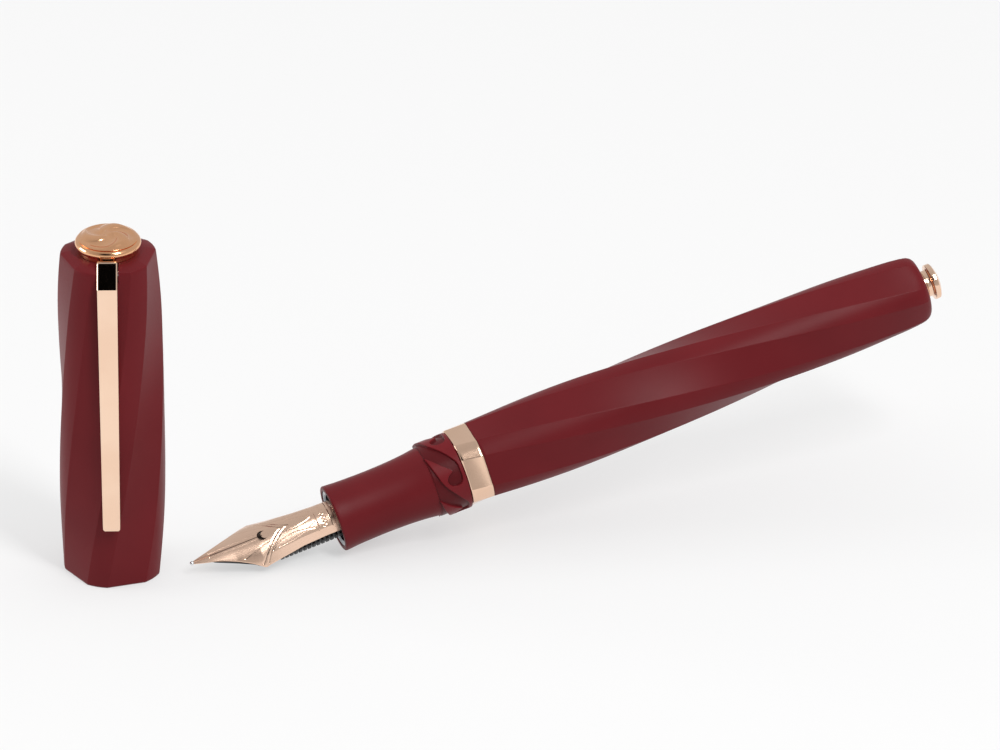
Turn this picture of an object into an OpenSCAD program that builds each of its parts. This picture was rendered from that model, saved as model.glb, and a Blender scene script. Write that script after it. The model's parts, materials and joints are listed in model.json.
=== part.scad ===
// Fountain pen laid open: the pen rests with its rear end raised and its cap
// stands beside it, mouth down. Millimetres, +Z up, origin on the ground under
// the middle of the whole set.

/* [Layout] */
// Height angle of the pen's axis, rear end up
pen_pitch = 14.1; // [0:0.1:25]
// Turn of the nib's upper face about the pen's axis, away from straight up
nib_roll = 25; // [0:1:60]
// Point of the pen's axis level with the nib tip, along X
pen_x = -53.65; // [-80:0.05:-40]
// Point of the pen's axis level with the nib tip, along Y
pen_y = -3.95; // [-20:0.1:20]
// The same point's height, which puts the feed's lowest fin on the ground
pen_rise = -0.47; // [-2:0.01:5]
// Centre of the standing cap, along X
cap_x = -64.95; // [-110:0.05:-60]
// Centre of the standing cap, along Y
cap_y = 2.4; // [-20:0.1:20]
// Direction that the clip faces
clip_turn = -108.4; // [-180:0.1:180]

/* [Pen body] */
// Distance from the nib tip to the mouth of the grip section
mouth_z = 24.2; // [20:0.1:28]
// Front face of the cap lock ring
lock_z = 40.7; // [38:0.1:44]
// Front face of the metal trim ring
trim_z = 45.95; // [44:0.05:48]
// Front face of the barrel
barrel_z = 49.6; // [48:0.1:52]
// Rear end of the barrel
barrel_end = 127.6; // [120:0.1:135]
// Rear end of the tail button
tail_end = 130.6; // [123:0.1:140]
// Radius of the grip section at its mouth
grip_mouth_r = 5.5; // [5.3:0.1:6]
// Radius of the lock ring
lock_r = 6.4; // [6.2:0.05:6.5]
// Radius of the floor of the lock ring's channels
channel_r = 6.0; // [5.8:0.05:6.1]
// Radius of the tail button
tail_r = 2.95; // [2:0.05:4]

/* [Twisted flats] */
// Number of flats round the barrel, the trim ring and the cap
flats = 5; // [3:1:8]
// Half of the angle that one flat spans
flat_half = 23.5; // [15:0.5:30]
// Turn of the barrel's flats for each millimetre of length
barrel_twist = 1.4; // [0:0.1:2]
// Direction of a flat's middle at the barrel's front, from the nib's upper face
barrel_phase = 51.6; // [0:0.1:72]
// Mean turn of the cap's flats for each millimetre of height
cap_twist = 1.08; // [0:0.01:2]
// How much faster the flats turn at the cap's mouth than at its top
cap_twist_fade = 0.0057; // [0:0.0001:0.01]
// Direction of a flat's middle at the cap's mouth, from the clip
cap_phase = 16.8; // [0:0.1:72]
// Direction of the first lock channel, from the nib's upper face
hook_phase = 34; // [0:1:72]

/* [Cap] */
// Height of the cap shell
cap_h = 56.6; // [54:0.1:60]
// Radius of the bore at the cap's mouth
mouth_bore_r = 6.6; // [6.5:0.05:6.8]
// Radius of the bore further up
cap_bore_r = 6.25; // [6:0.05:6.3]
// Underside of the cap's solid top
ceiling_z = 52.5; // [51:0.1:53]
// Width of the clip
clip_w = 3.2; // [2.4:0.1:4]
// Height of the clip's free end
clip_low = 11.3; // [8:0.1:20]
// Radius of the finial's bezel
bezel_r = 5.25; // [4.5:0.05:6]

/* [Nib and feed] */
// Radius of the rolled rear part of the nib
nib_r = 3.15; // [3:0.05:3.2]
// Height of the nib's ridge line above the pen's axis
nib_top = 3.3; // [3.15:0.05:3.6]
// Thickness of the nib's sheet
nib_t = 0.35; // [0.2:0.05:0.5]
// Half width across the nib's shoulders
shoulder_w = 4.4; // [3.5:0.1:4.8]
// Distance from the tip to the shoulders
shoulder_z = 11; // [9:0.1:13]
// Radius of the feed's fins
feed_r = 3.05; // [2.8:0.05:3.1]
// Number of fins
fins = 13; // [6:1:16]
// Distance from one fin to the next
fin_pitch = 0.78; // [0.6:0.01:1]

/* [Converter] */
// Front end of the converter
conv_z = 42; // [42:0.1:44]
// Outer radius of the ink tube
tube_r = 3.3; // [3:0.05:3.4]
// Inner radius of the ink tube
ink_r = 2.7; // [2:0.05:2.8]
// Rear end of the turning knob
knob_end = 108; // [100:0.5:109]
// Radius of the turning knob
knob_r = 3.6; // [3:0.05:3.8]

/* [Hidden] */
$fn = 64;
eps = 0.01;
resin = [0.42, 0.11, 0.14];
rose_gold = [0.86, 0.68, 0.56];
steel = [0.75, 0.75, 0.77];
brass = [0.78, 0.66, 0.38];
black = [0.08, 0.08, 0.09];
gap = 0.05;
// Grip: the step behind the lock ring, the steel bush and the brass thread sleeve
lock_end = trim_z - 0.1;
shoulder_r = 5.1;
bush_r = 4.7;
bush_end = 31;
sleeve_z = 38;
sleeve_end = 56;
sleeve_r = 4.6;
sleeve_bore = 3.95;
seal_mid = 46.8;
// Nib unit: housing, the bore that holds nib and feed, and the nipple
housing_r = 3.9;
housing_z = 25.4;
housing_end = 41.5;
nib_end = 38;
feed_end = 40;
socket_r = 3.18;
nipple_r = 1.45;
nipple_end = 46;
duct_r = 0.4;
// Barrel: its brass liner, its hollow and the screw that holds the tail button
liner_r = 5.1;
liner_end = 58;
cavity_r = 4.4;
cavity_end = 122;
shank_r = 1.0;
screw_head_r = 2.0;
tail_screw_end = 129.6;
// Converter: mouth, tube, collar, piston and screw rod
mouth_end = 47;
tube_end = 88;
collar_r = 3.7;
collar_z = 80;
collar_end = 92;
neck_r = 2.5;
seal_z = 74;
seal_len = 4;
rod_r = 1.2;
rod_end = 105;
// Cap: guide sleeve, sprung inner cup, clip and its pivot
pin_r = 0.55;
sleeve_low = 19;
sleeve_top = 46;
cup_r = 5.74;
cup_bore = 5.0;
cup_low = 21.4;
cup_top = 48.5;
cup_floor = 47.2;
pivot_x = 5.7;
pivot_z = 55.3;
pivot_r = 0.5;
pivot_len = 5.6;
spring_x = 3.6;
spring_seat = 53;
slot_z = 54.3;
leg_low_x = 9.85;
crease_x = 9.0;
crease_z = 54.1;
clip_t = 0.85;
tab_x = 5.55;
tab_top = 57.6;
neck_w = 1.5;
// Finial: the screw's end, the magnet's seat, the medallion's seat and the bezel's rim
finial_screw_end = 57.3;
magnet_r = 2.2;
medal_seat = 57.9;
bezel_top = 58.9;
bead_r = 0.9;

// Barrel radius at points along the axis
barrel_radii = [[barrel_z, 6.6], [58, 6.82], [68, 6.96], [76, 6.87], [85, 6.7], [94, 6.55],
    [103, 6.4], [114, 6.22], [120, 6.04], [124, 5.88], [126, 5.7], [127.1, 5.2],
    [barrel_end, 4.4]];
// Cap radius at points up its height
cap_radii = [[0, 7.8], [0.5, 8.02], [3, 8.12], [10, 8.37], [20, 8.5], [30, 8.49], [40, 8.4],
    [48, 8.2], [52, 7.9], [55.4, 7.55], [56.2, 7.3], [cap_h, 6.8]];
// Grip radius at points along the axis
grip_radii = [[mouth_z, grip_mouth_r - 0.2], [24.5, grip_mouth_r], [26, 5.38], [28.5, 5.29],
    [31.5, 5.25], [34, 5.28], [36.5, 5.38], [38.5, 5.55], [lock_z, 5.8]];
// Half width, bend radius and wrap of the nib at points along the axis
nib_half = [[0.2, 0.28], [1.5, 0.66], [3, 1.1], [5, 1.78], [7, 2.55], [9, 3.45],
    [10.2, 4.08], [shoulder_z, shoulder_w], [11.6, 4.38]];
nib_bend = [[0.2, 5.1], [shoulder_z, 5.1], [14, 4.3], [18, 3.5], [22, nib_r],
    [nib_end, nib_r]];
nib_wrap = [[11.6, 59], [14, 64], [18, 70], [22, 74], [nib_end, 74]];

// One ring of a body with twisted flats: flats of a regular figure, joined by arcs
function flat_ring(r, turn, z) = [
    for (k = [0 : flats - 1]) for (a = [-flat_half, 0, flat_half, 180 / flats])
        let (edge = r * cos(flat_half),
             rad = abs(a) <= flat_half ? edge / cos(a) : r,
             dir = turn + 360 / flats * k + a)
        [rad * cos(dir), rad * sin(dir), z]];

// Closed solid through a stack of rings that all have the same number of points
module loft(rings) {
    n = len(rings[0]);
    top = len(rings) - 1;
    polyhedron(
        points = [for (ring = rings) for (p = ring) p],
        faces = concat(
            [[for (j = [0 : n - 1]) j]],
            [[for (j = [n - 1 : -1 : 0]) top * n + j]],
            [for (i = [0 : top - 1]) for (j = [0 : n - 1])
                let (k = (j + 1) % n) [i * n + j, (i + 1) * n + j, (i + 1) * n + k]],
            [for (i = [0 : top - 1]) for (j = [0 : n - 1])
                let (k = (j + 1) % n) [i * n + j, (i + 1) * n + k, i * n + k]]),
        convexity = 6);
}

// Heights at which a table of radii is sampled: its own points and even steps between
function levels(table, step) = [
    for (i = [0 : len(table) - 2])
        let (span = table[i + 1][0] - table[i][0], count = max(1, ceil(span / step)))
        for (k = [0 : count - 1]) table[i][0] + span * k / count,
    table[len(table) - 1][0]];

// Round tube along a helix about Z
module coil(mean_r, wire_r, low, high, turns, sides = 8, per_turn = 20) {
    steps = turns * per_turn;
    loft([for (i = [0 : steps])
        let (t = 360 * i / per_turn, z = low + wire_r + (high - low - 2 * wire_r) * i / steps)
        [for (k = [0 : sides - 1])
            let (a = -360 * k / sides, r = mean_r + wire_r * cos(a))
            [r * cos(t), r * sin(t), z + wire_r * sin(a)]]]);
}

// Tube of two radii along Z
module tube(outer, inner, low, high) {
    difference() {
        translate([0, 0, low]) cylinder(r = outer, h = high - low);
        translate([0, 0, low - eps]) cylinder(r = inner, h = high - low + 2 * eps);
    }
}

module rod(r, low, high) {
    translate([0, 0, low]) cylinder(r = r, h = high - low);
}

// The pen's own frame has its axis along Z from the nib tip to the tail, and the
// nib's upper face towards X
module pen_place() {
    translate([pen_x, pen_y, pen_rise])
        rotate([0, 90 - pen_pitch, 0])
            rotate([0, 0, 180 + nib_roll]) children();
}

// The cap's own frame has its axis along Z from the mouth and the clip towards X
module cap_place() {
    translate([cap_x, cap_y, 0]) rotate([0, 0, clip_turn]) children();
}

// ---- Grip ----

module section() {
    color(resin) pen_place() difference() {
        rotate_extrude() polygon(concat(
            [[0, mouth_z]], [for (p = grip_radii) [p[1], p[0]]],
            [[shoulder_r, lock_z], [shoulder_r, lock_end], [0, lock_end]]));
        rod(bush_r, mouth_z - 1, bush_end);
        rod(sleeve_bore, bush_end - 1, sleeve_z + 1);
        rod(sleeve_r, sleeve_z, lock_end + 1);
    }
}

module mouth_bush() {
    color(steel) pen_place() rotate_extrude() polygon([[sleeve_bore, mouth_z + 0.5],
        [sleeve_bore + 0.25, mouth_z + 0.15], [bush_r, mouth_z + 0.1], [bush_r, bush_end],
        [sleeve_bore, bush_end]]);
}

// Outline of one lock channel, unrolled: angle about the axis and distance behind the
// ring's front. It opens at the front, runs back and ends in a pocket behind the hook.
function channel_outline() = [[-49, -1], [-37, -1], [-18, 1.3], [-1.4, 3.3], [0, 3.0], [4, 2.2],
    [10, 2.15], [17, 2.4], [21, 3.4], [17, 4.4], [8, 4.6], [-14, 4.6], [-22, 4.1], [-32, 3.0],
    [-47, 1.7], [-56, 0.9]];

// Outline of the shallow cut in front of one hook
function front_cut_outline() = [[-34, -1], [-30, 0.12], [6.6, 1.1], [20, 1.8], [26, 1.9],
    [24, 0.9], [19, -1]];

// Radial prism over an unrolled outline, centred on the angle mid
module radial_cut(outline, mid) {
    rotate([0, 0, mid]) translate([0, 0, lock_z]) rotate([90, 0, 90])
        translate([0, 0, channel_r - 2]) linear_extrude(height = 3)
            polygon([for (p = outline) [lock_r * tan(p[0] - mid), p[1]]]);
}

module lock_ring() {
    color(resin) pen_place() difference() {
        tube(lock_r, shoulder_r, lock_z, lock_end);
        for (k = [0 : flats - 1]) rotate([0, 0, hook_phase + 360 / flats * k]) difference() {
            union() {
                radial_cut(channel_outline(), -18);
                radial_cut(front_cut_outline(), -4);
            }
            rod(channel_r, lock_z - 2, lock_end + 1);
        }
    }
}

// Sleeve with a groove for the sealing ring and the thread drawn as plain grooves
module thread_sleeve() {
    first = 48;
    pitch = 0.9;
    root_r = 4.3;
    groove = [[sleeve_r, 0], [root_r + 0.05, 0.35], [root_r + 0.05, 0.5], [sleeve_r, 0.8]];
    color(brass) pen_place() rotate_extrude() polygon(concat(
        [[sleeve_bore, sleeve_z], [sleeve_r, sleeve_z], [sleeve_r, seal_mid - 0.3],
            [root_r, seal_mid - 0.3], [root_r, seal_mid + 0.3], [sleeve_r, seal_mid + 0.3]],
        [for (i = [0 : 7]) for (p = groove) [p[0], first + i * pitch + p[1]]],
        [[sleeve_r, sleeve_end - 0.5], [root_r, sleeve_end], [sleeve_bore, sleeve_end]]));
}

module seal_ring() {
    ring_r = 0.16;
    color(black) pen_place() translate([0, 0, seal_mid])
        rotate_extrude() translate([4.3 + ring_r, 0]) circle(r = ring_r, $fn = 24);
}

// ---- Nib unit ----

// One closed ring of the nib's bent sheet at distance z from the tip
function nib_ring(z) =
    let (bend = lookup(z, nib_bend),
         wrap = z < 11.6 ? asin(lookup(z, nib_half) / bend) : lookup(z, nib_wrap),
         centre = nib_top - bend + (z > 18 ? (nib_r - nib_top) * min(1, (z - 18) / 4) : 0),
         across = 9)
    concat(
        [for (i = [0 : across]) let (a = -wrap + 2 * wrap * i / across)
            [centre + bend * cos(a), bend * sin(a), z]],
        [for (i = [across : -1 : 0]) let (a = -wrap + 2 * wrap * i / across)
            [centre + (bend - nib_t) * cos(a), (bend - nib_t) * sin(a), z]]);

module nib() {
    slit = 0.12;
    hole_r = 0.75;
    color(rose_gold) pen_place() difference() {
        loft([for (z = [0.3, 1.5, 3, 5, 7, 9, 10.2, shoulder_z, 11.6, 13, 15, 17, 19.5, 22, 24,
            nib_end])
            nib_ring(z)]);
        translate([2, -slit / 2, -1]) cube([3, slit, shoulder_z + 1]);
        translate([2, 0, shoulder_z + 0.6]) rotate([0, 90, 0]) cylinder(r = hole_r, h = 3);
    }
}

module nib_tip() {
    color(steel) pen_place() translate([nib_top - 0.1, 0, 0.05]) sphere(r = 0.35, $fn = 24);
}

// Side view of the feed: distance from the tip, height from the axis
function feed_side() = [[4.5, 2.55], [4.5, 2.35], [8, 1.2], [11, -1.2], [13.5, -2.6], [15, -4],
    [40, -4], [40, 4], [22, 4], [12, 2.6]];

// Feed: a stepped core, fins below it, and a plain rear part that fits the housing
module feed() {
    first_fin = mouth_z - fins * fin_pitch;
    fin_t = 0.55 * fin_pitch;
    color(black) pen_place() intersection() {
        rotate([-90, -90, 0]) translate([0, 0, -5]) linear_extrude(height = 10)
            polygon(feed_side());
        union() {
            rod(2.3, 4, first_fin + eps);
            rod(2.0, first_fin, mouth_z + eps);
            rod(2.7, mouth_z, feed_end);
            intersection() {
                translate([-8, -5, 0]) cube([8, 10, 50]);
                union() {
                    rod(feed_r, mouth_z, feed_end);
                    for (i = [0 : fins - 1])
                        translate([0, 0, first_fin + i * fin_pitch]) rod(feed_r, 0, fin_t);
                }
            }
        }
    }
}

module nib_housing() {
    color(black) pen_place() difference() {
        union() {
            rod(housing_r, housing_z, housing_end);
            rod(nipple_r, housing_end - eps, nipple_end);
        }
        rod(socket_r, housing_z - 1, feed_end + 0.2);
        rod(duct_r, feed_end - 1, nipple_end + 1);
    }
}

// ---- Barrel ----

module barrel() {
    color(resin) pen_place() difference() {
        loft([for (z = levels(barrel_radii, 3))
            flat_ring(lookup(z, barrel_radii), barrel_phase + barrel_twist * (z - barrel_z), z)]);
        rotate_extrude() polygon([[0, barrel_z - 1], [liner_r, barrel_z - 1], [liner_r, liner_end],
            [cavity_r, liner_end], [cavity_r, cavity_end], [shank_r + gap, cavity_end],
            [shank_r + gap, barrel_end + 1], [0, barrel_end + 1]]);
    }
}

module barrel_liner() {
    color(brass) pen_place() tube(liner_r, sleeve_r + gap, trim_z + 0.15, liner_end);
}

module trim_ring() {
    ring_r = 6.6;
    bevel = 0.2;
    color(rose_gold) pen_place() difference() {
        loft([for (z = [trim_z, trim_z + 0.15, trim_z + 1.2, trim_z + 2.4, barrel_z])
            flat_ring(z == trim_z ? ring_r - bevel : ring_r,
                barrel_phase + barrel_twist * (z - barrel_z), z)]);
        rod(liner_r, trim_z - 1, barrel_z + 1);
    }
}

module tail_finial() {
    color(rose_gold) pen_place() difference() {
        rotate_extrude() polygon([[0, barrel_end], [2.5, barrel_end], [2.5, barrel_end + 0.6],
            [2.2, barrel_end + 0.9], [2.2, barrel_end + 1.3], [tail_r, barrel_end + 1.7],
            [tail_r, tail_end - 0.6], [tail_r - 0.35, tail_end - 0.25], [1.4, tail_end],
            [0, tail_end]]);
        rod(shank_r, barrel_end - 1, tail_screw_end);
    }
}

module tail_screw() {
    color(steel) pen_place() difference() {
        union() {
            rod(screw_head_r, cavity_end - 1.4, cavity_end);
            rod(shank_r, cavity_end - eps, tail_screw_end);
        }
        translate([-2.5, -0.25, cavity_end - 2]) cube([5, 0.5, 1.1]);
    }
}

// ---- Converter ----

module converter_mouth() {
    color(black) pen_place() difference() {
        union() {
            rod(tube_r, conv_z, mouth_end);
            rod(ink_r, mouth_end - eps, mouth_end + 2);
        }
        rod(nipple_r + gap, conv_z - 1, nipple_end + 0.3);
        rod(shank_r, nipple_end, mouth_end + 3);
    }
}

module converter_tube() {
    color([0.85, 0.88, 0.9, 0.4]) pen_place() tube(tube_r, ink_r, mouth_end, tube_end);
}

module converter_collar() {
    color(steel) pen_place() difference() {
        union() {
            rod(collar_r, collar_z, collar_end);
            rod(collar_r + 0.05, collar_z + 1, collar_z + 1.8);
        }
        rod(tube_r, collar_z - 1, tube_end);
        rod(neck_r + gap, tube_end - 1, collar_end + 1);
    }
}

module converter_knob() {
    flutes = 16;
    color(black) pen_place() difference() {
        union() {
            rod(knob_r, collar_end + 0.1, knob_end);
            rod(neck_r, tube_end + 0.2, collar_end + 0.2);
        }
        rod(rod_r + gap, tube_end - 1, knob_end - 1.5);
        for (i = [0 : flutes - 1]) rotate([0, 0, 360 / flutes * i])
            translate([knob_r + 0.1, 0, collar_end + 1]) cylinder(r = 0.3, h = 13);
    }
}

// Piston with a sealing lip at each end and a waist between them
module piston_seal() {
    lip_r = ink_r - 0.03;
    waist_r = lip_r - 0.3;
    color(black) pen_place() translate([0, 0, seal_z]) rotate_extrude() polygon([[0, 0],
        [waist_r, 0], [lip_r, 0.3], [lip_r, 0.9], [waist_r, 1.3], [waist_r, seal_len - 1.3],
        [lip_r, seal_len - 0.9], [lip_r, seal_len - 0.3], [waist_r, seal_len], [0, seal_len]]);
}

module piston_rod() {
    color(steel) pen_place() rod(rod_r, seal_z + seal_len, rod_end);
}

// ---- Cap ----

module clip_slot() {
    translate([spring_x - 1.1, -clip_w / 2 - 0.15, slot_z]) cube([8, clip_w + 0.3, 4]);
}

// Direction of the middle of the cap's first flat at a height
function cap_flat_dir(z) = cap_phase + cap_twist * z + cap_twist_fade * z * (cap_h - z);

module cap_shell() {
    color(resin) cap_place() difference() {
        loft([for (z = levels(cap_radii, 3))
            flat_ring(lookup(z, cap_radii), cap_flat_dir(z), z)]);
        rod(mouth_bore_r, -1, 6.6);
        rod(cap_bore_r, 6, ceiling_z);
        rod(shank_r + gap, ceiling_z - 1, cap_h + 1);
        clip_slot();
        translate([spring_x, 0, 0]) rod(0.9, spring_seat, slot_z + 1);
        pivot_rod(pivot_r, pivot_len);
        lock_pin_set();
    }
}

// Pins that stand into the cap's mouth, one under each flat
module lock_pin_set() {
    for (k = [0 : flats - 1]) rotate([0, 0, cap_phase + 180 / flats * (2 * k + 1)])
        translate([channel_r + 0.12, 0, 2]) rotate([0, 90, 0]) cylinder(r = pin_r, h = 1.1);
}

module lock_pins() {
    color(steel) cap_place() lock_pin_set();
}

module pivot_rod(r, length) {
    translate([pivot_x, 0, pivot_z]) rotate([90, 0, 0])
        cylinder(r = r, h = length, center = true);
}

module guide_sleeve() {
    color(brass) cap_place() tube(cap_bore_r, cup_r + gap, sleeve_low, sleeve_top);
}

module inner_cup() {
    color(black) cap_place() difference() {
        union() {
            rod(cup_r, cup_low, cup_top);
            rod(cap_bore_r - 0.1, sleeve_top + gap, sleeve_top + 1.3);
        }
        rod(cup_bore, cup_low - 1, cup_floor);
    }
}

module cup_seal() {
    color([0.25, 0.25, 0.25]) cap_place() tube(cup_r - 0.14, cup_bore - 0.1, cup_low - 0.8, cup_low);
}

module cup_spring() {
    color(steel) cap_place() coil(4.3, 0.22, cup_top, ceiling_z, 3);
}

// Side view of the clip: distance from the cap's axis and height
function clip_side() = [[2.7, 54.95], [2.7, 56.4], [tab_x, 56.4], [tab_x, tab_top - 0.3],
    [tab_x + 0.3, tab_top], [tab_x + 0.8, tab_top], [crease_x, crease_z],
    [leg_low_x, clip_low + 0.6], [leg_low_x - 0.25, clip_low],
    [leg_low_x - clip_t, clip_low + 0.1], [crease_x - clip_t, crease_z - 0.4],
    [pivot_x + 0.7, 56.1], [pivot_x + 0.7, 54.6], [pivot_x - 0.7, 54.6],
    [pivot_x - 0.7, 54.95]];

module clip() {
    nub_r = 0.55;
    color(rose_gold) cap_place() union() {
        difference() {
            rotate([90, 0, 0]) linear_extrude(height = clip_w, center = true)
                polygon(clip_side());
            pivot_rod(pivot_r + gap, 8);
        }
        translate([4.7, -neck_w / 2, 56.3]) cube([tab_x - 4.5, neck_w, 1.1]);
        translate([leg_low_x - clip_t + 0.1, 0, clip_low + 1.6]) sphere(r = nub_r, $fn = 24);
    }
}

module clip_pin() {
    color(steel) cap_place() pivot_rod(pivot_r, pivot_len);
}

module clip_spring() {
    color(steel) cap_place() translate([spring_x, 0, 0])
        coil(0.6, 0.14, spring_seat, 54.9, 4, 6, 12);
}

module finial_bezel() {
    color(rose_gold) cap_place() difference() {
        rotate_extrude() polygon(concat([[0, cap_h], [4.8, cap_h], [4.8, cap_h + 0.6]],
            [for (a = [-60 : 15 : 75]) [bezel_r - bead_r * (1 - cos(a)),
                bezel_top - bead_r * (1 - sin(a))]],
            [[4.5, bezel_top - 0.03], [4.5, medal_seat], [0, medal_seat]]));
        rod(shank_r, cap_h - 1, finial_screw_end + 0.1);
        rod(magnet_r, finial_screw_end, bezel_top);
        translate([4.2, -neck_w / 2 - 0.2, cap_h - 1]) cube([2, neck_w + 0.4, 2]);
    }
}

module finial_screw() {
    color(steel) cap_place() difference() {
        union() {
            rod(screw_head_r, ceiling_z - 1.1, ceiling_z);
            rod(shank_r, ceiling_z - eps, finial_screw_end);
        }
        translate([-2.5, -0.25, ceiling_z - 2]) cube([5, 0.5, 1.5]);
    }
}

module finial_magnet() {
    color([0.4, 0.4, 0.42]) cap_place() rod(magnet_r - gap, finial_screw_end + 0.02, medal_seat);
}

// Domed disc: its upper face is an arc from the rim to the crown
module finial_medallion() {
    rim_r = 4.45;
    rim_z = 58.4;
    crown = 1.45;
    ball_r = (rim_r * rim_r + crown * crown) / (2 * crown);
    color(rose_gold) cap_place() rotate_extrude() polygon(concat(
        [[0, medal_seat + gap], [rim_r, medal_seat + gap]],
        [for (i = [0 : 9]) let (x = rim_r * (1 - i / 9))
            [x, rim_z + crown - ball_r + sqrt(ball_r * ball_r - x * x)]]));
}

section();
mouth_bush();
lock_ring();
thread_sleeve();
seal_ring();
nib();
nib_tip();
feed();
nib_housing();
barrel();
barrel_liner();
trim_ring();
tail_finial();
tail_screw();
converter_mouth();
converter_tube();
converter_collar();
converter_knob();
piston_seal();
piston_rod();
cap_shell();
lock_pins();
guide_sleeve();
inner_cup();
cup_seal();
cup_spring();
clip();
clip_pin();
clip_spring();
finial_bezel();
finial_screw();
finial_magnet();
finial_medallion();
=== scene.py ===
import json
import math

import bmesh
import bpy
import numpy as np
from mathutils import Matrix, Vector


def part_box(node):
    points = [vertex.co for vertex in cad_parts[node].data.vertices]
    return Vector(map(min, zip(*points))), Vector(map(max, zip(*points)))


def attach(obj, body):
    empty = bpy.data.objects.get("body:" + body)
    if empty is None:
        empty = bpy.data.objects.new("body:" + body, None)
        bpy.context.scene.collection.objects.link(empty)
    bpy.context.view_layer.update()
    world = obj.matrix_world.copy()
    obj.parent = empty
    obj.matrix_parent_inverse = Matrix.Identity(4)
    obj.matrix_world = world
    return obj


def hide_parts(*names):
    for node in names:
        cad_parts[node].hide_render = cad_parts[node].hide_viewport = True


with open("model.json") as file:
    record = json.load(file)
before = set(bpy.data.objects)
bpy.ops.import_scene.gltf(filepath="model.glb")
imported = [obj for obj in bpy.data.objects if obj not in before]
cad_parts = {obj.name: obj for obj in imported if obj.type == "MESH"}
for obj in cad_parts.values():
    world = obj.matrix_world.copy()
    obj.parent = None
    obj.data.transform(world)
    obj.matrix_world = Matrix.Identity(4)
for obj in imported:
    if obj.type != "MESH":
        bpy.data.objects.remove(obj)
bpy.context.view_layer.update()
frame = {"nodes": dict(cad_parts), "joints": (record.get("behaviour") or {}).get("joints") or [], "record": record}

MM = 0.001
MOUNTS = {mount["name"]: mount for mount in frame["record"]["mounts"]}
JOINTS = {joint["name"]: joint for joint in frame["joints"]}

# ---------------------------------------------------------------- sizes, in mm
# The pen's own frame: Z from the nib tip to the tail, X towards the nib's face.
GRIP_MOUNT_Z = 32.0      # where the record's finger_grip mount lies
MOUTH_Z = 24.2
LOCK_Z = 40.7
LOCK_END = 45.85
TRIM_Z = 45.95
BARREL_Z = 49.6
BARREL_END = 127.6
TAIL_END = 130.6
LINER_R = 5.1
LINER_END = 58.0
CAVITY_R = 4.4
CAVITY_END = 122.0
SCREW_R = 1.05
LOCK_R = 6.4
CHANNEL_R = 6.0

FLATS = 5
SECTOR = 360.0 / FLATS
FLAT_HALF = 23.5
BARREL_TWIST = 1.4
BARREL_PHASE = 51.6
CAP_TWIST = 1.08
CAP_TWIST_FADE = 0.0057
CAP_PHASE = 16.8
HOOK_PHASE = 34.0

CAP_H = 56.6
CAP_MOUTH_R = 6.6
CAP_BORE_R = 6.25
CEILING_Z = 52.5
CLIP_W = 3.2

BARREL_RADII = [(BARREL_Z + 0.12, 6.6), (52, 6.66), (58, 6.81), (68, 6.94), (76, 6.855), (85, 6.69),
                (94, 6.55), (103, 6.4), (114, 6.22), (120, 6.04), (124, 5.88), (125.4, 5.76)]
BARREL_TIP = [(126.1, 5.64), (126.7, 5.42), (127.15, 5.08), (127.45, 4.66), (127.58, 4.2)]
CAP_RADII = [(0.5, 8.02), (3, 8.11), (10, 8.35), (20, 8.465), (30, 8.455), (40, 8.38), (48, 8.21),
             (52, 7.97), (55.0, 7.71)]
# Height, radius and how much of the flats is left, over the cap's crisp top edge
CAP_TIP = [(55.5, 7.66, 1.0), (55.95, 7.60, 1.0), (56.02, 7.56, 1.0), (56.07, 7.48, 1.0), (56.28, 6.85, 0.9),
           (56.48, 6.1, 0.6), (56.58, 5.6, 0.2)]
GRIP_RADII = [(24.55, 5.5), (25.2, 5.455), (26, 5.39), (28.5, 5.29), (31.5, 5.245), (34, 5.28),
              (36.5, 5.38), (38.5, 5.54), (40.2, 5.74), (LOCK_Z, 5.8)]


# ---------------------------------------------------------------- frames
def unit(vector):
    return vector / np.linalg.norm(vector)


def matrix_from(x_axis, z_axis, origin):
    """Placement whose Z is z_axis and whose X is x_axis squared up to it, in metres from mm."""
    z = unit(np.array(z_axis, dtype=float))
    x = np.array(x_axis, dtype=float)
    x = unit(x - z * x.dot(z))
    y = np.cross(z, x)
    out = np.eye(4)
    out[:3, 0], out[:3, 1], out[:3, 2] = x * MM, y * MM, z * MM
    out[:3, 3] = origin
    return out


def box_centre(node):
    low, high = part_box(node)
    return (np.array(low) + np.array(high)) / 2


pen_axis = unit(np.array(JOINTS["barrel_pull"]["axis"], dtype=float))
pen_origin = np.array(MOUNTS["finger_grip"]["pos_m"]) - pen_axis * GRIP_MOUNT_Z * MM
PEN = matrix_from(box_centre("nib_tip") - pen_origin, pen_axis, pen_origin)
cap_origin = np.array(MOUNTS["cap_mouth"]["pos_m"])
CAP = matrix_from(np.array(JOINTS["clip_spring_open"]["pos_m"]) - cap_origin, (0, 0, 1), cap_origin)


# ---------------------------------------------------------------- mesh helpers
def place(points, placement):
    points = np.asarray(points, dtype=float).reshape(-1, 3)
    return points @ placement[:3, :3].T + placement[:3, 3]


def new_mesh(name, points, faces, placement, material, sharp_deg=35.0):
    """Mesh object from mm points, smooth shaded except across edges sharper than sharp_deg."""
    mesh = bpy.data.meshes.new(name)
    mesh.from_pydata(place(points, placement).tolist(), [], faces)
    mesh.validate()
    obj = bpy.data.objects.new(name, mesh)
    bpy.context.scene.collection.objects.link(obj)
    obj.data.materials.append(material)
    finish_mesh(obj, sharp_deg)
    return obj


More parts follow.
